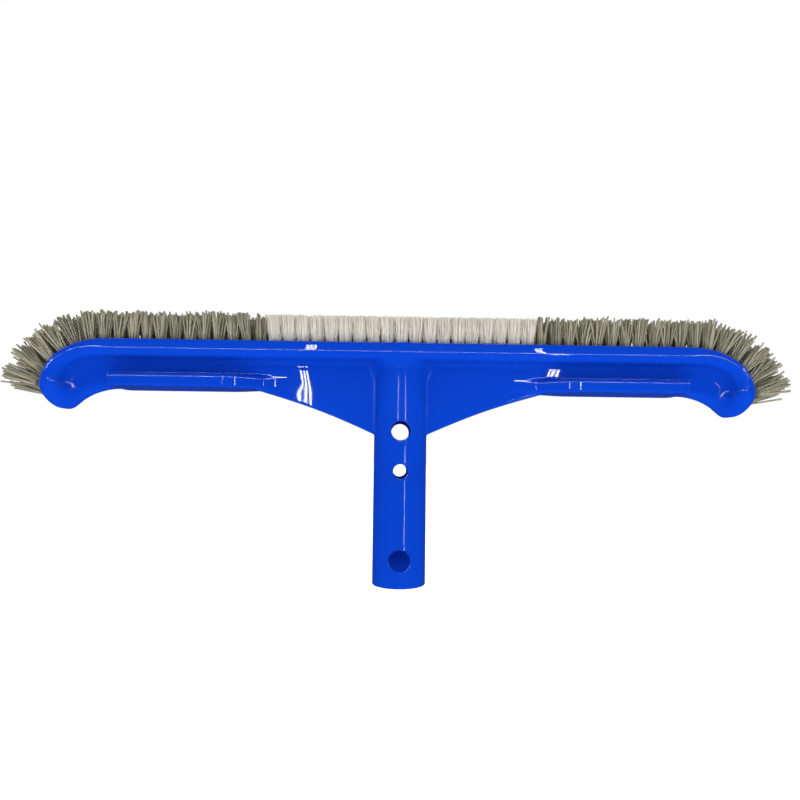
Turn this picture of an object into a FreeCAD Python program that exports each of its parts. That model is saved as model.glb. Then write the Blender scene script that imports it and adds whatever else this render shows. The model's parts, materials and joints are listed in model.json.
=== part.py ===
import FreeCAD, Part
import math
import os

# Pool wall brush: one moulded back with a pole socket, set with bristle tufts on wire anchors.
# Millimetres. Origin at the centre of the socket's open end, +Z up the socket towards the
# bristles, +X along the brush, +Y towards its back. Left and right halves mirror each other.

# --- driving dimensions -------------------------------------------------------------------
FACE_Z = 137.6            # flat face that carries the bristles
PLATE_T = 9.3             # plate thickness along the straight part
PLATE_HALF_DEPTH = 19.5   # plate is 39 mm deep, front to back
PLAN_CORNER_R = 14.0      # rounding of the plate's ends, seen from above
PLAN_MARGIN = 1.0         # keeps that rounding's outline just clear of the end itself
RIM_ROUND = 2.8           # rounding of the plate's front and back edges
WEB_HALF_T = 5.2          # web and gusset wings are 10.4 mm thick
SPINE_Z = 112.0           # lower edge of the straight spine
FLANGE_TOP_Z = 119.6      # lower flange, a bar along the spine
FLANGE_HALF_DEPTH = 14.4
FLANGE_END_X = 165.5      # outer end of the flange
FLANGE_TAPER_X = 97.0     # flange keeps its full depth out from here
FLANGE_ROOT_X = 77.0      # flange has sunk into the wing here
FLANGE_ROUND = 1.6

SOCKET_MOUTH_R = 15.5     # outside of the socket at its open end
SOCKET_TOP_R = 15.1       # outside of the socket where it meets the plate
BORE_R = 12.5             # inside of the socket
BORE_DEPTH = 98.0         # its blind end lies between the upper pin hole and the spine
WING_FOOT_Z = 86.4        # where the wings meet the socket

BUTTON_HOLE_Z, BUTTON_HOLE_R = 15.9, 5.9      # front wall only
LOWER_PIN_Z, LOWER_PIN_R = 66.0, 3.95         # right through
UPPER_PIN_Z, UPPER_PIN_R = 88.7, 5.3          # right through

TUFT_PITCH = 7.9          # spacing of the tufts along the curved face
ROW_PITCH = 8.0
ROW_COUNT = 4
LAST_TUFT = 27.5          # pitches from the middle to the last tuft
WHITE_SPAN = 75.0         # tufts nearer the middle than this are white
END_SPAN = 166.0          # tufts further along the face than this fan out round the end
MAX_TILT = 68.0           # degrees from upright
TUFT_ROOT_R = 2.0
TUFT_TIP_R = 3.2
TUFT_HOLE_DEPTH = 6.5     # down to the anchor's lower edge
WHITE_LENGTH = 14.6       # free length of the white tufts
GREY_LENGTH = 15.6        # free length of the grey tufts that stand upright
END_LENGTH_GAIN = 3.1     # extra free length at the greatest tilt

ANCHOR_HEIGHT = 2.2
ANCHOR_WIDTH = 4.7
ANCHOR_T = 0.5

# Outline of the right-hand end, seen from the front: along the face, round the end, under the
# lobe and back up to the spine.
END_OUTLINE = [(166.5, FACE_Z), (179.0, 135.5), (189.8, 130.2), (198.2, 122.6), (203.8, 113.2),
               (201.4, 104.6), (194.0, 99.6), (184.8, 104.2), (176.0, 109.0), (162.0, SPINE_Z)]
# The rim's inner edge, round the recessed pocket inside the end, starting from the lobe.
POCKET_OUTLINE = [(188.6, 109.4), (190.0, 115.4), (186.6, 121.8), (178.5, 126.6),
                  (166.0, FACE_Z - PLATE_T)]
LOBE_FOOT = END_OUTLINE[7]
# The wing's lower edge, from the spine to the socket.
WING_OUTLINE = [(84.0, SPINE_Z), (50.0, 101.4), (14.0, WING_FOOT_Z)]

X_AXIS = FreeCAD.Vector(1, 0, 0)
Y_AXIS = FreeCAD.Vector(0, 1, 0)
Z_AXIS = FreeCAD.Vector(0, 0, 1)


def at(x, z, y=0.0):
    return FreeCAD.Vector(x, y, z)


def smooth_curve(outline):
    """One smooth curve through the points."""
    curve = Part.BSplineCurve()
    curve.interpolate(Points=[at(x, z) for x, z in outline])
    return curve


def end_curve():
    """The right-hand end's outline, running smoothly out of the face and into the spine."""
    curve = Part.BSplineCurve()
    points = [at(x, z) for x, z in END_OUTLINE]
    curve.interpolate(Points=points, InitialTangent=X_AXIS, FinalTangent=-X_AXIS)
    return curve


def line(a, b):
    return Part.makeLine(at(*a), at(*b))


def mirrored(edges):
    return [edge.mirror(at(0, 0), X_AXIS) for edge in edges]


def prism(edges, half_depth):
    """A closed outline in the XZ plane, thickened equally to the front and the back."""
    face = Part.Face(Part.Wire(Part.__sortEdges__(edges)))
    face.translate(FreeCAD.Vector(0, -half_depth, 0))
    return face.extrude(FreeCAD.Vector(0, 2 * half_depth, 0))


def rounded_slab(half_x, half_y, corner, low_z, high_z):
    """A plate with rounded corners, seen from above."""
    box = Part.makeBox(2 * half_x, 2 * half_y, high_z - low_z,
                       FreeCAD.Vector(-half_x, -half_y, low_z))
    upright = [e for e in box.Edges if abs(e.tangentAt(e.FirstParameter).z) > 0.9]
    return box.makeFillet(corner, upright)


def plate():
    """The bristle plate: a deep strip that curls round each end into a lobe."""
    curve = end_curve()
    end = curve.toShape(curve.FirstParameter, curve.parameter(at(*LOBE_FOOT)))
    pocket = smooth_curve([LOBE_FOOT] + POCKET_OUTLINE).toShape()
    right = [end, pocket]
    top = line((-END_OUTLINE[0][0], FACE_Z), END_OUTLINE[0])
    under = line((-POCKET_OUTLINE[-1][0], FACE_Z - PLATE_T), POCKET_OUTLINE[-1])
    strip = prism(right + mirrored(right) + [top, under], 2 * PLATE_HALF_DEPTH)
    reach = max(x for x, z in END_OUTLINE) + PLAN_MARGIN
    slab = rounded_slab(reach, PLATE_HALF_DEPTH, PLAN_CORNER_R, 0.0, 2 * FACE_Z)
    solid = strip.common(slab).Solids[0]
    rim = [e for e in solid.Edges if e.BoundBox.YMin > 0 or e.BoundBox.YMax < 0]
    return solid.makeFillet(RIM_ROUND, rim)


def web():
    """The thin middle wall, with the lower outline of the lobes, spine and gusset wings."""
    lobe = end_curve().toShape()
    wing = smooth_curve(WING_OUTLINE).toShape()
    spine = line(END_OUTLINE[-1], WING_OUTLINE[0])
    top = line((-END_OUTLINE[0][0], FACE_Z), END_OUTLINE[0])
    foot = line((-WING_OUTLINE[-1][0], WING_FOOT_Z), WING_OUTLINE[-1])
    right = [lobe, spine, wing]
    return prism(right + mirrored(right) + [top, foot], WEB_HALF_T)


def flange(side):
    """The bar along the spine's lower edge on one side, sinking into the wing at its root."""
    outline = [(FLANGE_END_X, -FLANGE_HALF_DEPTH), (FLANGE_END_X, FLANGE_HALF_DEPTH),
               (FLANGE_TAPER_X, FLANGE_HALF_DEPTH), (FLANGE_ROOT_X, WEB_HALF_T - 0.6),
               (FLANGE_ROOT_X, 0.6 - WEB_HALF_T), (FLANGE_TAPER_X, -FLANGE_HALF_DEPTH)]
    points = [FreeCAD.Vector(side * x, y, SPINE_Z) for x, y in outline]
    face = Part.Face(Part.makePolygon(points + points[:1]))
    bar = face.extrude(Z_AXIS * (FLANGE_TOP_Z - SPINE_Z))
    rounded = [e for e in bar.Edges if min(abs(v.X) for v in e.Vertexes) > FLANGE_TAPER_X - 1.0]
    return bar.makeFillet(FLANGE_ROUND, rounded)


def across(radius, z, y_from, y_to):
    return Part.makeCylinder(radius, y_to - y_from, FreeCAD.Vector(0, y_from, z), Y_AXIS)


def tuft_places():
    """Every tuft as (row, distance along the face, place on the face, tilt in degrees)."""
    straight = END_OUTLINE[0][0]
    curve = end_curve()
    places = []
    for row in range(ROW_COUNT):
        y = (row - (ROW_COUNT - 1) / 2) * ROW_PITCH
        offset = 0.5 if row % 2 else 0.0
        steps = int(LAST_TUFT - offset)
        for step in range(-steps - int(2 * offset), steps + 1):
            along = (step + offset) * TUFT_PITCH
            side = math.copysign(1.0, along)
            run = abs(along)
            if run <= straight:
                places.append((row, along, at(along, FACE_Z, y), 0.0))
                continue
            u = curve.parameterAtDistance(run - straight)
            point = curve.value(u)
            tangent = curve.tangent(u)[0]
            tilt = math.degrees(math.atan2(-tangent.z, tangent.x))
            places.append((row, along, at(side * point.x, point.z, y), side * min(tilt, MAX_TILT)))
    return places


def tuft_colour(along):
    return "white" if abs(along) < WHITE_SPAN else "grey"


def tuft_zone(along):
    if abs(along) < WHITE_SPAN:
        return "centre_white"
    side = "left" if along < 0 else "right"
    return side + ("_end_grey" if abs(along) > END_SPAN else "_grey")


def tuft_length(along, tilt):
    if tuft_colour(along) == "white":
        return WHITE_LENGTH
    return GREY_LENGTH + END_LENGTH_GAIN * abs(tilt) / MAX_TILT


def placed(shape, place, tilt):
    copy = shape.copy()
    copy.Placement = FreeCAD.Placement(place, FreeCAD.Rotation(Y_AXIS, tilt))
    return copy


def anchor():
    """A flat wire staple at the bottom of a tuft's hole."""
    return Part.makeBox(ANCHOR_T, ANCHOR_WIDTH, ANCHOR_HEIGHT,
                        FreeCAD.Vector(-ANCHOR_T / 2, -ANCHOR_WIDTH / 2, -TUFT_HOLE_DEPTH))


def tuft(length):
    """A bundle of filaments: it stands on its anchor in its hole and flares to the trimmed tip."""
    sunk = TUFT_HOLE_DEPTH - ANCHOR_HEIGHT
    return Part.makeCone(TUFT_ROOT_R, TUFT_TIP_R, sunk + length, FreeCAD.Vector(0, 0, -sunk))


def brush_back(places):
    """The single blue moulding: plate, web, flanges, wings and socket."""
    socket = Part.makeCone(SOCKET_MOUTH_R, SOCKET_TOP_R, FACE_Z - PLATE_T / 2)
    solid = plate().fuse([web(), flange(-1), flange(1), socket]).removeSplitter()
    through = 2 * SOCKET_MOUTH_R
    openings = [Part.makeCylinder(BORE_R, BORE_DEPTH),
                across(BUTTON_HOLE_R, BUTTON_HOLE_Z, -through, 0),
                across(LOWER_PIN_R, LOWER_PIN_Z, -through, through),
                across(UPPER_PIN_R, UPPER_PIN_Z, -through, through)]
    for row, along, place, tilt in places:
        openings.append(placed(tuft(tuft_length(along, tilt)), place, tilt))
        openings.append(placed(anchor(), place, tilt))
    return solid.cut(openings)


def write(node, shape):
    shape.exportStep("parts/" + node + ".step")


os.makedirs("parts", exist_ok=True)
tufts = tuft_places()
write("brush_back", brush_back(tufts))

groups = {}
for row, along, place, tilt in tufts:
    name = tuft_zone(along) + "_row_" + str(row + 1)
    groups.setdefault("tufts_" + name, []).append(placed(tuft(tuft_length(along, tilt)), place, tilt))
    groups.setdefault("anchors_" + name, []).append(placed(anchor(), place, tilt))
for node, solids in groups.items():
    write(node, Part.makeCompound(solids))
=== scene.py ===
import json
import math

import bpy
import numpy as np
from mathutils import Matrix, Vector


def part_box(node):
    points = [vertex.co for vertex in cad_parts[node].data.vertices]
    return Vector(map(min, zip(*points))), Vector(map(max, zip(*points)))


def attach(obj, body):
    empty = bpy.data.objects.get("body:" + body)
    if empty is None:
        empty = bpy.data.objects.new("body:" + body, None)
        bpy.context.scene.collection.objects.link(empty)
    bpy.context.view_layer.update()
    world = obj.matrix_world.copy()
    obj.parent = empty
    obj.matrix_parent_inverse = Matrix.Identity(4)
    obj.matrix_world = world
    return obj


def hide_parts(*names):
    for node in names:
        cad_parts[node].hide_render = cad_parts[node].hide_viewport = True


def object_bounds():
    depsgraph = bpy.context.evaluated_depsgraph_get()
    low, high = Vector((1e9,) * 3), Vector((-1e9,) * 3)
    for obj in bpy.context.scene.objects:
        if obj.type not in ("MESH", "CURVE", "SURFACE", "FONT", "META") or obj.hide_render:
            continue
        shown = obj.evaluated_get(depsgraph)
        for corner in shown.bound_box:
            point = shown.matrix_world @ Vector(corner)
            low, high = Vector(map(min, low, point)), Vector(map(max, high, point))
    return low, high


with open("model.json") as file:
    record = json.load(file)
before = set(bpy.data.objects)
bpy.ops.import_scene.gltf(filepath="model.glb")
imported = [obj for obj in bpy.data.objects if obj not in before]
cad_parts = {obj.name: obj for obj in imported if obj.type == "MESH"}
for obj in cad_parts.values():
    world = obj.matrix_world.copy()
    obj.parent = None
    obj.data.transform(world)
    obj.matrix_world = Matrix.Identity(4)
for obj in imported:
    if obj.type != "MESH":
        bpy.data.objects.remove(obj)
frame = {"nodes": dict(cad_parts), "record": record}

# Pool wall brush: a glossy blue moulded back with separate bristle filaments round the CAD's
# anchors. Shapes are worked out in millimetres, in the CAD's frame, and scaled to metres.

cad_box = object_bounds()

MM = 0.001
RNG = np.random.default_rng(20)

# --- the moulded back ---------------------------------------------------------------------
# Lengths in millimetres. A pair of X or Z places is the stretch over which something changes.
BACK_LOW, BACK_HIGH = (np.array(corner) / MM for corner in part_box("brush_back"))
MOUNTS = {m["name"]: m for m in frame["record"]["mounts"]}
FACE_Z = BACK_HIGH[2]
HALF_DEPTH = BACK_HIGH[1]
PLATE_T = 9.3
PLAN_CORNER_R = 16.0
PLAN_MARGIN = 1.6                         # how far the plan's rounding runs past the end itself
RIM_DRAFT = 0.9                           # the rim's face leans back this much up to its top,
DRAFT_LOW_Z = FACE_Z - PLATE_T + 2.0      # starting from here,
DRAFT_OUT_X = (168.0, 188.0)              # and stands upright round the ends
RIM_ROUND, RIM_TOP_ROUND = 4.2, 2.2       # the rim's rounding at its lower and upper edges
RIM_ROUND_Z = (131.0, 135.5)
RIM_END_ROUND = 5.6                       # its rounding round the plate's ends
RIM_END_X = (152.0, 190.0)
RIM_SINK_DEGREES = (4.0, 77.0)            # below level, where the rim sinks into the lobe
RIM_SINK_X = (172.0, 178.0)
LOBE_HALF_DEPTH = 6.6                     # where the rim has sunk into the lobe
WEB_HALF_T = 5.2
WEB_ROUND, LOBE_ROUND = 0.9, 4.7          # the web's edges, and the same edges round the lobe
LOBE_X = (160.0, 178.0)
GROOVE_FILLET, POCKET_FILLET = 3.2, 5.6   # between web and plate, along it and in the pocket
POCKET_X = (160.0, 184.0)
LEAST_FILLET = 0.3
SPINE_Z = 112.0
FLANGE_TOP_Z = 119.6
FLANGE_HALF_DEPTH = 14.4
FLANGE_END_X = 165.5
FLANGE_TAPER_X = (71.0, 101.0)            # from its root in the web out to its full depth
FLANGE_SUNK = 0.4                         # how far the root ends below the web's face
FLANGE_BURIED = 6.0                       # how far it runs on inside the web
FLANGE_ROUND, FLANGE_TOP_ROUND = 1.3, 2.2
FLANGE_ROUND_Z = (114.0, 118.0)
FLANGE_CORNER_R = 4.5
FLANGE_FILLET = 1.2
SOCKET_MOUTH_R, SOCKET_TOP_R = 15.5, 15.1
SOCKET_TOP_Z = FACE_Z - 2.0
SOCKET_FILLET, SHOULDER_FILLET = 0.9, 5.0    # beside the wings, and up under the plate
SHOULDER_Z = (116.0, 128.0)
WING_FOOT_Z = 86.4
LIP_ROUND = 0.4                           # outer edge of the socket's open end
BORE_ROUND = 0.8                          # inner edge of the same end
HOLE_ROUND = 0.25

END_OUTLINE = [(166.5, FACE_Z), (179.0, 135.5), (189.8, 130.2), (198.2, 122.6), (203.8, 113.2),
               (201.4, 104.6), (194.0, 99.6), (184.8, 104.2), (176.0, 109.0), (162.0, SPINE_Z)]
LOBE_FOOT = 7                             # the outline's point where the rim has run out
POCKET_OUTLINE = [(188.6, 109.4), (190.0, 115.4), (186.6, 121.8), (178.5, 126.6),
                  (166.0, FACE_Z - PLATE_T)]
POCKET_CENTRE = (184.0, 114.0)
WING_OUTLINE = [(84.0, SPINE_Z), (50.0, 101.4), (14.0, WING_FOOT_Z), (0.0, 80.0)]
OVERLAP_X = -24.0                         # how far the half outlines run past the middle


def spline(points, start=None, finish=None, step=0.4):
    """A smooth cubic curve through the points, as closely spaced points along it."""
    p = np.array(points, float)
    count = len(p)
    length = np.linalg.norm(np.diff(p, axis=0), axis=1)
    matrix = np.zeros((count, count))
    right = np.zeros((count, 2))
    for i in range(1, count - 1):
        before, after = length[i - 1], length[i]
        matrix[i, i - 1:i + 2] = after, 2 * (before + after), before
        right[i] = 3 * (after * (p[i] - p[i - 1]) / before + before * (p[i + 1] - p[i]) / after)
    for i, near, direction in ((0, 1, start), (count - 1, count - 2, finish)):
        matrix[i, i] = 1.0
        if direction is None:
            matrix[i, i], matrix[i, near] = 2.0, 1.0
            gap = length[min(i, near)]
            direction = 3 * (p[max(i, near)] - p[min(i, near)]) / gap
        right[i] = direction
    slope = np.linalg.solve(matrix, right)
    pieces = []
    for i in range(count - 1):
        t = np.linspace(0, 1, max(2, int(length[i] / step)), endpoint=False)[:, None]
        pieces.append((2 * t**3 - 3 * t**2 + 1) * p[i] + (3 * t**2 - 2 * t**3) * p[i + 1]
                      + length[i] * ((t**3 - 2 * t**2 + t) * slope[i] + (t**3 - t**2) * slope[i + 1]))
    pieces.append(p[-1:])
    return np.vstack(pieces)


def outline_distance(outline, x, z):
    """Signed distance from points to a closed outline, negative inside."""
    a = outline
    b = np.roll(outline, -1, axis=0)
    span = b - a
    size = (span**2).sum(1)
    best = np.full(x.shape, np.inf)
    inside = np.zeros(x.shape, bool)
    for (ax, az), (bx, bz), (sx, sz), s2 in zip(a, b, span, size):
        px, pz = x - ax, z - az
        t = np.clip((px * sx + pz * sz) / max(s2, 1e-12), 0, 1)
        best = np.minimum(best, (px - t * sx)**2 + (pz - t * sz)**2)
        if az != bz:
            crosses = (az > z) != (bz > z)
            inside ^= crosses & (x < ax + sx * (z - az) / sz)
    return np.sqrt(best) * np.where(inside, -1, 1)


class Field:
    """An outline's signed distance, tabulated and read back with smooth cubic interpolation."""

    STEP = 0.5
    LOW = np.array([-2.0, -6.0])
    HIGH = np.array([214.0, 146.0])

    def __init__(self, outline):
        nx, nz = ((self.HIGH - self.LOW) / self.STEP).astype(int) + 1
        x = self.LOW[0] + self.STEP * np.arange(nx)
        z = self.LOW[1] + self.STEP * np.arange(nz)
        grid_x, grid_z = np.meshgrid(x, z, indexing="ij")
        self.table = outline_distance(outline, grid_x, grid_z)

    @staticmethod
    def weights(t):
        return [((2 - t) * t - 1) * t / 2, (t * t * (3 * t - 5) + 2) / 2,
                ((4 - 3 * t) * t + 1) * t / 2, (t - 1) * t * t / 2]

    def __call__(self, x, z):
        x, z = np.broadcast_arrays(x, z)
        fx = np.clip((x - self.LOW[0]) / self.STEP, 1, self.table.shape[0] - 3)
        fz = np.clip((z - self.LOW[1]) / self.STEP, 1, self.table.shape[1] - 3)
        i, k = fx.astype(int), fz.astype(int)
        wx, wz = self.weights(fx - i), self.weights(fz - k)
        total = np.zeros(x.shape)
        for a in range(4):
            for b in range(4):
                total += wx[a] * wz[b] * self.table[i + a - 1, k + b - 1]
        return total


def blend_in(a, b, r):
    """Union of two signed distances, with a fillet of radius r where they meet."""
    return np.maximum(r, np.minimum(a, b)) - np.hypot(np.maximum(r - a, 0), np.maximum(r - b, 0))


def trim(a, b, r):
    """What two signed distances have in common, with its edge rounded to radius r."""
    return np.minimum(-r, np.maximum(a, b)) + np.hypot(np.maximum(a + r, 0), np.maximum(b + r, 0))


def smooth(x, low, high):
    t = np.clip((x - low) / (high - low), 0, 1)
    return t * t * (3 - 2 * t)


def mix(a, b, t):
    return a + (b - a) * t


def half_outlines():
    """The right half's rim and web outlines, each running a little past the middle."""
    end = spline(END_OUTLINE, (1, 0), (-1, 0))
    foot = np.argmin(np.linalg.norm(end - END_OUTLINE[LOBE_FOOT], axis=1))
    pocket = spline([END_OUTLINE[LOBE_FOOT]] + POCKET_OUTLINE)
    face = [(OVERLAP_X, FACE_Z)]
    rim = np.vstack([face, end[:foot], pocket, [(OVERLAP_X, FACE_Z - PLATE_T)]])
    wing = spline(WING_OUTLINE)
    web = np.vstack([face, end, wing, [(OVERLAP_X, WING_OUTLINE[-1][1])]])
    return Field(rim), Field(web)


RIM, WEB = half_outlines()


def rim_half_depth(x, z):
    """The rim is at full depth round the end, and sinks into the lobe towards its foot."""
    angle = np.degrees(np.arctan2(z - POCKET_CENTRE[1], x - POCKET_CENTRE[0]))
    sunk = smooth(-angle, *RIM_SINK_DEGREES) * smooth(x, *RIM_SINK_X)
    return mix(HALF_DEPTH, LOBE_HALF_DEPTH, sunk)


def plate_distance(x, y, z):
    """The plate: the rim's outline at its depth, with rounded corners seen from above."""
    plan_x = x - (BACK_HIGH[0] + PLAN_MARGIN - PLAN_CORNER_R)
    draft = RIM_DRAFT * smooth(z, DRAFT_LOW_Z, FACE_Z) * (1 - smooth(x, *DRAFT_OUT_X))
    plan_y = y - (rim_half_depth(x, z) - draft - PLAN_CORNER_R)
    plan = (np.minimum(np.maximum(plan_x, plan_y), 0) - PLAN_CORNER_R
            + np.hypot(np.maximum(plan_x, 0), np.maximum(plan_y, 0)))
    edge = mix(RIM_ROUND, RIM_TOP_ROUND, smooth(z, *RIM_ROUND_Z))
    return trim(RIM(x, z), plan, mix(edge, RIM_END_ROUND, smooth(x, *RIM_END_X)))


def flange_distance(x, y, z):
    """The bar along the spine, sinking into the web at its root."""
    reach = mix(WEB_HALF_T - FLANGE_SUNK, FLANGE_HALF_DEPTH, smooth(x, *FLANGE_TAPER_X))
    side = y - reach
    level = np.abs(z - (SPINE_Z + FLANGE_TOP_Z) / 2) - (FLANGE_TOP_Z - SPINE_Z) / 2
    plan = trim(side, x - FLANGE_END_X, FLANGE_CORNER_R)
    plan = np.maximum(plan, FLANGE_TAPER_X[0] - FLANGE_BURIED - x)
    return trim(plan, level, mix(FLANGE_ROUND, FLANGE_TOP_ROUND, smooth(z, *FLANGE_ROUND_Z)))


def socket_distance(x, y, z):
    radius = mix(SOCKET_MOUTH_R, SOCKET_TOP_R, z / FACE_Z)
    return trim(np.hypot(x, y) - radius, np.maximum(-z, z - SOCKET_TOP_Z), LIP_ROUND)


def back_distance(x, y, z):
    """Signed distance to the whole moulding, in millimetres."""
    x_full, y_full = x, y
    x, y = np.abs(x), np.abs(y)
    web_outline = WEB(x, z)
    plate = plate_distance(x, y, z)
    web = trim(web_outline, y - WEB_HALF_T, mix(WEB_ROUND, LOBE_ROUND, smooth(x, *LOBE_X)))
    fillet = mix(GROOVE_FILLET, POCKET_FILLET, smooth(x, *POCKET_X))
    # A fillet bulges past an edge that its two shapes share, so it shrinks towards the outline
    # and what is left of the bulge is cut off.
    solid = blend_in(plate, web, np.clip(-web_outline, LEAST_FILLET, fillet))
    solid = np.maximum(solid, web_outline)
    solid = blend_in(solid, flange_distance(x, y, z), FLANGE_FILLET)
    solid = np.maximum(solid, np.minimum(web_outline, SPINE_Z - z))
    shoulder = mix(SOCKET_FILLET, SHOULDER_FILLET, smooth(z, *SHOULDER_Z))
    solid = blend_in(solid, socket_distance(x, y, z), shoulder)
    solid = np.maximum(solid, z - FACE_Z)
    bore = MOUNTS["pole_socket"]["dims"]
    hollow = np.maximum(np.hypot(x, y) - bore["r_mm"], z - bore["length_mm"])
    solid = trim(solid, -hollow, BORE_ROUND)
    for name in ("button_hole", "lower_pin_hole", "upper_pin_hole"):
        height = MOUNTS[name]["pos_m"][2] / MM
        hole = np.hypot(x_full, z - height) - MOUNTS[name]["dims"]["r_mm"]
        if name == "button_hole":
            hole = np.maximum(hole, y_full)
        solid = trim(solid, -hole, HOLE_ROUND)
    return solid


def spaced(stations):
    """Grid positions through the stations, given as (position, step up to the next one)."""
    parts = []
    for (low, step), (high, _) in zip(stations, stations[1:]):
        count = max(1, round((high - low) / step))
        parts.append(np.linspace(low, high, count, endpoint=False))
    parts.append([stations[-1][0]])
    return np.concatenate(parts)


CORNERS = [(a, b, c) for a in (0, 1) for b in (0, 1) for c in (0, 1)]


def surface_net(distance, xs, ys, zs):
    """A quad mesh of the surface where distance is zero, on a grid of those spacings."""
    value = distance(xs[:, None, None], ys[None, :, None], zs[None, None, :])
    inside = value < 0
    corner_count = sum(inside[a:inside.shape[0] - 1 + a, b:inside.shape[1] - 1 + b,
                              c:inside.shape[2] - 1 + c].astype(np.int8) for a, b, c in CORNERS)
    active = (corner_count > 0) & (corner_count < 8)
    cell = np.argwhere(active)
    number = np.full(active.shape, -1)
    number[active] = np.arange(len(cell))
    total = np.zeros((len(cell), 3))
    hits = np.zeros(len(cell))
    for first in CORNERS:
        for axis in range(3):
            if first[axis]:
                continue
            second = list(first)
            second[axis] = 1
            i, j, k = (cell + first).T
            i2, j2, k2 = (cell + second).T
            low, high = value[i, j, k], value[i2, j2, k2]
            cut = (low < 0) != (high < 0)
            t = np.where(cut, low / np.where(cut, low - high, 1), 0)[:, None]
            start = np.stack([xs[i], ys[j], zs[k]], 1)
            finish = np.stack([xs[i2], ys[j2], zs[k2]], 1)
            total += np.where(cut[:, None], start + t * (finish - start), 0)
            hits += cut
    points = total / hits[:, None]
    faces = []
    for axis in range(3):
        low = np.take(inside, range(inside.shape[axis] - 1), axis)
        high = np.take(inside, range(1, inside.shape[axis]), axis)
        edge = np.argwhere(low != high)
        u, v = (axis + 1) % 3, (axis + 2) % 3
        ring = []
        for du, dv in ((1, 1), (0, 1), (0, 0), (1, 0)):
            c = edge.copy()
            c[:, u] -= du
            c[:, v] -= dv
            ring.append(number[tuple(c.T)])
        quad = np.stack(ring, 1)
        outward = low[tuple(edge.T)]
        quad[~outward] = quad[~outward][:, ::-1]
        faces.append(quad)
    return points, np.concatenate(faces)


def slope(distance, points, h=0.03):
    """The distance's gradient, by central differences."""
    out = np.empty_like(points)
    for axis in range(3):
        step = np.zeros(3)
        step[axis] = h
        ahead, behind = points + step, points - step
        out[:, axis] = (distance(*ahead.T) - distance(*behind.T)) / (2 * h)
    return out


def settle(distance, points, rounds=3, reach=0.5):
    """Moves the points onto the exact surface, and gives the surface's normals there."""
    for _ in range(rounds):
        gradient = slope(distance, points)
        size = np.maximum((gradient**2).sum(1), 0.2)
        move = -(distance(*points.T) / size)[:, None] * gradient
        far = np.linalg.norm(move, axis=1)
        points = points + move * np.minimum(1, reach / np.maximum(far, 1e-9))[:, None]
    gradient = slope(distance, points)
    return points, gradient / np.maximum(np.linalg.norm(gradient, axis=1), 1e-9)[:, None]


def mesh_object(name, points, faces, normals, material):
    """A mesh piece in metres from points in millimetres."""
    mesh = bpy.data.meshes.new(name)
    mesh.from_pydata((points * MM).tolist(), [], faces)
    mesh.shade_smooth()
    if normals is not None:
        mesh.normals_split_custom_set_from_vertices(normals.tolist())
    mesh.materials.append(material)
    piece = bpy.data.objects.new(name, mesh)
    bpy.context.scene.collection.objects.link(piece)
    return piece


def moulded_back(material):
    """The whole moulding as one mesh, its grid finer at the socket, taper and ends."""
    fine = 0.64
    ends = 1.0
    right = [(0, fine), (18.6, 1.0), (32.0, 1.6), (60.0, 2.4), (76.0, 1.6), (106.0, 2.6),
             (146.0, 1.7), (158.0, ends), (BACK_HIGH[0] + 1.6, ends)]
    half = spaced(right)
    xs = np.concatenate([-half[:0:-1], half])
    ys = spaced([(BACK_LOW[1] - 1.3, 0.9), (BACK_HIGH[1] + 1.3, 0.9)])
    zs = spaced([(BACK_LOW[2] - 1.2, 0.8), (98.0, 0.9), (BACK_HIGH[2] + 1.35, 0.9)])
    points, faces = surface_net(back_distance, xs, ys, zs)
    points, normals = settle(back_distance, points)
    points = np.clip(points, BACK_LOW, BACK_HIGH)
    return mesh_object("moulded_back", points, faces.tolist(), normals, material)


# --- the bristles -------------------------------------------------------------------------
ANCHOR_DEPTH = 5.4            # from the face down to the middle of a tuft's anchor
ROOT_DEPTH = 1.2              # filaments start this far below the face
MAX_TILT = math.radians(68.0)
GOLDEN_ANGLE = 2.39996
# Each kind of tuft: lengths in millimetres, with splay, stray and lean as slopes. Gain is the
# extra length at the greatest tilt, and ragged is how much the lengths vary.
GREY = {"count": 24, "radius": 0.50, "root": 2.3, "length": 15.6, "gain": 1.2, "ragged": 0.12,
        "splay": 0.075, "stray": 0.10, "bend": 0.6, "lean": 0.04, "sides": 5, "rings": 4}
# Fuller tufts, to fill the fan round the ends.
GREY_END = {**GREY, "count": 36, "splay": 0.10, "ragged": 0.08}
WHITE = {"count": 250, "radius": 0.2, "root": 3.0, "length": 14.6, "gain": 0.0, "ragged": 0.004,
         "splay": 0.13, "stray": 0.03, "bend": 0.15, "lean": 0.01, "sides": 3, "rings": 3}


def islands(node):
    """The centres and main directions in the XZ plane of a CAD node's separate solids."""
    mesh = frame["nodes"][node].data
    co = np.array([v.co[:] for v in mesh.vertices]) / MM
    spots, same = np.unique(np.round(co, 3), axis=0, return_inverse=True)
    same = same.ravel()
    label = np.arange(len(spots))
    corners = np.array([[same[v] for v in p.vertices][:3] for p in mesh.polygons])
    while True:
        before = label.copy()
        lowest = label[corners].min(1)
        for c in range(3):
            np.minimum.at(label, corners[:, c], lowest)
        if (label == before).all():
            break
    for island in np.unique(label):
        solid = spots[label == island]
        centre = (solid.min(0) + solid.max(0)) / 2
        flat = (solid - centre)[:, [0, 2]]
        along = np.linalg.eigh(flat.T @ flat)[1][:, -1]
        along *= math.copysign(1, along[1])
        yield centre, np.array([along[0], 0.0, along[1]])


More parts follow.
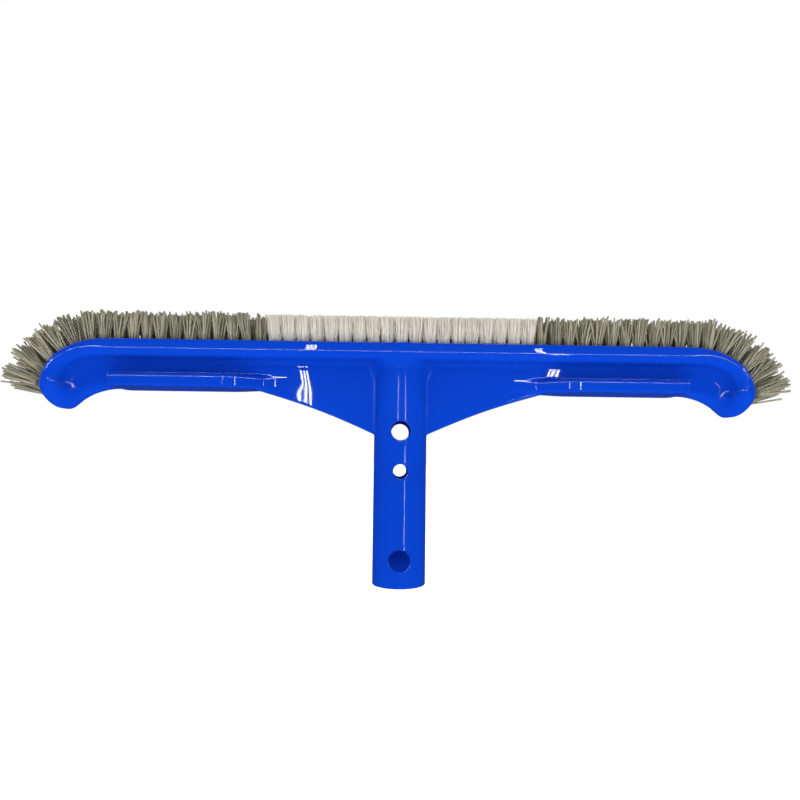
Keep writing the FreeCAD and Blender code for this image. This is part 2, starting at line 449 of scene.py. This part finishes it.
def tuft(place, axis, kind):
    """One tuft's filaments, as points indexed by filament, ring along it and side round it."""
    count, rings, sides = kind["count"], kind["rings"], kind["sides"]
    across = np.array([axis[2], 0.0, -axis[0]])
    depth = np.array([0.0, 1.0, 0.0])
    frame_axes = np.stack([across, depth])
    tilt = math.acos(min(1.0, axis[2]))
    length = kind["length"] + kind["gain"] * tilt / MAX_TILT
    length *= 1 + 0.5 * kind["ragged"] * RNG.uniform(-1, 1)
    leaning = axis + kind["lean"] * RNG.normal(size=2) @ frame_axes
    turn = np.arange(count) * GOLDEN_ANGLE + RNG.uniform(-0.3, 0.3, count)
    out = np.sqrt((np.arange(count) + 0.5) / count)
    spot = (out * np.stack([np.cos(turn), np.sin(turn)])).T
    stray = kind["stray"] * np.clip(RNG.normal(size=(count, 2)), -1.8, 1.8)
    direction = leaning + (kind["splay"] * spot + stray) @ frame_axes
    direction /= np.linalg.norm(direction, axis=1)[:, None]
    reach = length * (1 + kind["ragged"] * RNG.uniform(-1, 0.45, count)) + ROOT_DEPTH
    reach /= direction @ axis
    bend = kind["bend"] * RNG.normal(size=(count, 2)) @ frame_axes
    base = place - axis * ROOT_DEPTH + kind["root"] * spot @ frame_axes
    t = np.linspace(0, 1, rings)[None, :, None]
    line = base[:, None] + direction[:, None] * (reach[:, None, None] * t) + bend[:, None] * t**2
    u = np.cross(direction, depth)
    u /= np.linalg.norm(u, axis=1)[:, None]
    v = np.cross(direction, u)
    angle = 2 * math.pi * (np.arange(sides)[None] + RNG.random((count, 1))) / sides
    radius = kind["radius"] * RNG.uniform(0.9, 1.08, (count, 1))
    ring = (radius * np.cos(angle))[..., None] * u[:, None] + (radius * np.sin(angle))[..., None] * v[:, None]
    return line[:, :, None] + ring[:, None]


def rod_faces(rings, sides):
    """The side quads and end caps of one filament, by its own point numbers."""
    faces = []
    for r in range(rings - 1):
        for s in range(sides):
            a, b = r * sides + s, r * sides + (s + 1) % sides
            faces.append((a, b, b + sides, a + sides))
    faces.append(tuple(range((rings - 1) * sides, rings * sides)))
    faces.append(tuple(range(sides))[::-1])
    return faces


def bristles(anchor_node, kind, material):
    """All the filaments that one node of anchors holds, as one piece."""
    rods = np.concatenate([tuft(centre + axis * ANCHOR_DEPTH, axis, kind)
                           for centre, axis in islands(anchor_node)])
    low, high = (np.array(corner) / MM for corner in cad_box)
    points = np.clip(rods, low, high).reshape(-1, 3)
    each = kind["rings"] * kind["sides"]
    pattern = rod_faces(kind["rings"], kind["sides"])
    faces = [tuple(start + v for v in face) for start in range(0, len(points), each)
             for face in pattern]
    name = anchor_node.replace("anchors", "bristles")
    piece = mesh_object(name, points, faces, None, material)
    tone = np.repeat(RNG.random(len(rods)), each)
    piece.data.attributes.new("tone", "FLOAT", "POINT").data.foreach_set("value", tone)
    return piece


# --- materials ----------------------------------------------------------------------------
class Nodes:
    """A short way to write a material's node tree."""

    def __init__(self, name):
        self.material = bpy.data.materials.new(name)
        self.material.use_nodes = True
        self.tree = self.material.node_tree
        self.shader = self.tree.nodes["Principled BSDF"]
        self.place = self.add("ShaderNodeTexCoord").outputs["Object"]

    def add(self, kind, inputs=(), **settings):
        node = self.tree.nodes.new(kind)
        for key, setting in settings.items():
            setattr(node, key, setting)
        for key, value in dict(inputs).items():
            self.feed(node.inputs[key], value)
        return node

    def feed(self, socket, value):
        if isinstance(value, bpy.types.NodeSocket):
            self.tree.links.new(value, socket)
        else:
            socket.default_value = value

    def noise(self, scale, detail=2.0, stretch=(1, 1, 1), roughness=0.5):
        spot = self.add("ShaderNodeMapping", {"Vector": self.place, "Scale": stretch})
        return self.add("ShaderNodeTexNoise", {"Vector": spot.outputs[0], "Scale": scale,
                                               "Detail": detail, "Roughness": roughness}).outputs["Fac"]

    def ramp(self, factor, *stops):
        node = self.add("ShaderNodeValToRGB", {"Fac": factor})
        elements = node.color_ramp.elements
        while len(elements) < len(stops):
            elements.new(0.5)
        for element, (position, colour) in zip(elements, stops):
            element.position = position
            element.color = (*colour, 1.0)
        return node.outputs["Color"]

    def between(self, factor, low, high):
        return self.add("ShaderNodeMapRange", {"Value": factor, "To Min": low, "To Max": high}).outputs[0]

    def bump(self, height, strength, distance, normal=None):
        inputs = {"Height": height, "Strength": strength, "Distance": distance}
        if normal is not None:
            inputs["Normal"] = normal
        return self.add("ShaderNodeBump", inputs).outputs["Normal"]

    def set(self, **inputs):
        for key, value in inputs.items():
            self.feed(self.shader.inputs[key.replace("_", " ")], value)


def blue_plastic():
    """Glossy moulded polypropylene: faint flow marks, soft ripples and fine handling scuffs."""
    n = Nodes("blue_plastic")
    flow = n.noise(14.0, 3.0, (0.6, 1.0, 1.6))
    colour = n.ramp(flow, (0.3, (0.0018, 0.040, 0.44)), (0.7, (0.0023, 0.0465, 0.485)))
    scuffs = n.noise(420.0, 4.0, (0.25, 1.0, 1.0), 0.7)
    ripples = n.bump(n.noise(55.0, 1.0, (0.7, 1.0, 1.0)), 0.35, 0.0006)
    normal = n.bump(n.noise(700.0, 2.0), 0.01, 0.00004, ripples)
    n.set(Base_Color=colour, Roughness=n.between(scuffs, 0.012, 0.03), Normal=normal,
          IOR=1.49, Specular_IOR_Level=0.35)
    return n.material


def filament_material(name, low, high, roughness, glow):
    """Nylon filament: each one a little lighter or darker, with fine streaks along it."""
    n = Nodes(name)
    tone = n.add("ShaderNodeAttribute", attribute_name="tone").outputs["Fac"]
    streak = n.noise(900.0, 2.0, (1.0, 1.0, 0.12))
    value = n.add("ShaderNodeMath", {0: tone, 1: n.between(streak, -0.25, 0.25)}, operation="ADD")
    colour = n.ramp(value.outputs[0], (0.0, low), (1.0, high))
    n.set(Base_Color=colour, Roughness=n.between(streak, roughness - 0.06, roughness + 0.08),
          Normal=n.bump(streak, 0.12, 0.00005), IOR=1.53, Subsurface_Weight=glow,
          Subsurface_Radius=(0.004, 0.004, 0.003), Subsurface_Scale=0.4)
    return n.material


def anchor_steel():
    """Drawn wire, with faint lines along it."""
    n = Nodes("anchor_wire")
    drawn = n.noise(700.0, 3.0, (1.0, 0.1, 1.0))
    colour = n.ramp(drawn, (0.3, (0.42, 0.42, 0.41)), (0.7, (0.62, 0.61, 0.59)))
    n.set(Base_Color=colour, Roughness=n.between(drawn, 0.25, 0.42), Metallic=1.0,
          Normal=n.bump(drawn, 0.2, 0.00005))
    return n.material


# --- stage, light and camera --------------------------------------------------------------
# In metres and watts.
FLOOR_Z = -0.16
FLOOR_SIZE = 14.0
FLOOR_GLOW = 1.0              # light of its own, so the floor is as white as the backdrop
BACKDROP = 1.0                # brightness of the white studio behind the object
SURROUND = 0.41               # brightness of the studio as it lights the object
REFLECTED_ROOM = 0.02         # brightness of the room that glossy surfaces reflect
LIGHT_TARGET = (0, 0, 0.11)
LAMP_Y = -1.1                 # the tubes and front bars; one bar is as far behind the object
BAR_Z, BAR_LENGTH = 0.52, 4.0
TUBE_WIDTH, TUBE_GAP = 0.004, 0.0095
TUBE_POWER = 0.7              # per metre of tube
TUBES = (("left", -0.235, 0.15, 0.285), ("right", 0.40, -0.16, 0.30),
         ("left_high", -0.235, 0.62, 0.80), ("right_high", 0.40, 0.62, 0.80))
TUBES_TOGETHER = 3


def floor_material():
    """Matt white, very slightly cloudy."""
    n = Nodes("studio_floor")
    cloud = n.noise(1.3, 3.0)
    n.set(Base_Color=n.ramp(cloud, (0.3, (0.86, 0.86, 0.86)), (0.7, (0.9, 0.9, 0.9))),
          Roughness=n.between(cloud, 0.55, 0.65), Specular_IOR_Level=0.2,
          Emission_Color=(1.0, 1.0, 1.0, 1.0), Emission_Strength=FLOOR_GLOW)
    return n.material


def studio_floor():
    corners = [(-1, -1), (1, -1), (1, 1), (-1, 1)]
    mesh = bpy.data.meshes.new("floor")
    mesh.from_pydata([(FLOOR_SIZE * x, FLOOR_SIZE * y, FLOOR_Z) for x, y in corners], [], [(0, 1, 2, 3)])
    mesh.materials.append(floor_material())
    floor = bpy.data.objects.new("floor", mesh)
    floor.visible_glossy = False
    bpy.context.scene.collection.objects.link(floor)


def area_light(name, place, target, size, power):
    """A white rectangular lamp at a place, facing a target."""
    light = bpy.data.lights.new(name, "AREA")
    light.shape = "RECTANGLE"
    light.size, light.size_y = size
    light.energy = power
    lamp = bpy.data.objects.new(name, light)
    lamp.location = place
    lamp.rotation_euler = (Vector(target) - Vector(place)).to_track_quat("-Z", "Y").to_euler()
    bpy.context.scene.collection.objects.link(lamp)
    return lamp


def world_light():
    """White round the object, softer on it, and dark in what its glossy surfaces reflect."""
    world = bpy.data.worlds.new("studio")
    world.use_nodes = True
    tree = world.node_tree
    rays = tree.nodes.new("ShaderNodeLightPath")
    level = None
    for ray, brightness in (("Is Camera Ray", BACKDROP), ("Is Glossy Ray", REFLECTED_ROOM)):
        step = tree.nodes.new("ShaderNodeMath")
        step.operation = "MULTIPLY_ADD"
        tree.links.new(rays.outputs[ray], step.inputs[0])
        step.inputs[1].default_value = brightness - SURROUND
        step.inputs[2].default_value = SURROUND
        if level is not None:
            tree.links.new(level, step.inputs[2])
        level = step.outputs[0]
    background = tree.nodes["Background"]
    background.inputs["Color"].default_value = (1, 1, 1, 1)
    tree.links.new(level, background.inputs["Strength"])
    bpy.context.scene.world = world


def studio_lights():
    """Tubes, strips and bars for the glare lines, and broad lamps that glossy surfaces don't show."""
    for name, x, low, high in TUBES:
        for tube in range(TUBES_TOGETHER):
            spot = (x + TUBE_GAP * tube, LAMP_Y, (low + high) / 2)
            area_light(f"tube_{name}_{tube + 1}", spot, (spot[0] * 0.2, 0, spot[2]),
                       (TUBE_WIDTH, high - low), TUBE_POWER * (high - low))
    glare = [area_light("strip_" + side, (x, -0.34, 0.62), LIGHT_TARGET, (0.06, 0.4), 5.0)
             for side, x in (("left", -1.5), ("right", 1.5))]
    glare += [area_light("top_bar_" + name, (0, y, BAR_Z), LIGHT_TARGET, (BAR_LENGTH, 0.06), 26.0)
              for name, y in (("front", LAMP_Y), ("back", -LAMP_Y))]
    for lamp in glare:
        lamp.visible_diffuse = False
    broad = [area_light("key_bar", (0, LAMP_Y, BAR_Z), LIGHT_TARGET, (BAR_LENGTH, 0.12), 5.0),
             area_light("overhead", (0, -0.3, 1.5), LIGHT_TARGET, (3.0, 1.2), 13.0),
             area_light("front_fill", (0, -1.8, 0.2), LIGHT_TARGET, (2.4, 1.6), 5.5)]
    for lamp in broad:
        lamp.visible_glossy = False


CAMERA_DISTANCE = 0.3275
CAMERA_HEIGHT = 0.075
CAMERA_SHIFT = 0.069          # of the picture's width, upwards
FOCAL = 25.2
OBJECT_YAW = math.radians(1.0)
OBJECT_ROLL = math.radians(0.7)


def camera():
    """A level camera close in front, turned by the object's own small yaw and roll."""
    data = bpy.data.cameras.new("camera")
    data.lens = FOCAL
    data.sensor_width = 36.0
    data.shift_y = CAMERA_SHIFT
    data.clip_start = 0.01
    view = bpy.data.objects.new("camera", data)
    turn = Matrix.Rotation(-OBJECT_YAW, 4, "Z")
    stand = turn @ Vector((0, -CAMERA_DISTANCE, 0))
    view.matrix_world = (Matrix.Translation(stand + Vector((0, 0, CAMERA_HEIGHT))) @ turn
                         @ Matrix.Rotation(math.radians(90), 4, "X") @ Matrix.Rotation(OBJECT_ROLL, 4, "Z"))
    bpy.context.scene.collection.objects.link(view)
    bpy.context.scene.camera = view


# --- assembly -----------------------------------------------------------------------------
back = moulded_back(blue_plastic())
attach(back, "root")
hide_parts("brush_back")

grey = filament_material("grey_nylon", (0.155, 0.145, 0.097), (0.345, 0.326, 0.228), 0.45, 0.15)
white = filament_material("white_nylon", (0.80, 0.765, 0.645), (0.92, 0.885, 0.765), 0.4, 0.3)
steel = anchor_steel()
for anchors in sorted(name for name in frame["nodes"] if name.startswith("anchors")):
    pale = "white" in anchors
    kind = WHITE if pale else GREY_END if "_end_" in anchors else GREY
    piece = bristles(anchors, kind, white if pale else grey)
    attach(piece, "root")
    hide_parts(anchors.replace("anchors", "tufts"))
    for slot in frame["nodes"][anchors].material_slots:
        slot.material = steel

studio_floor()
world_light()
studio_lights()
bpy.context.scene.view_settings.view_transform = "Standard"
camera()
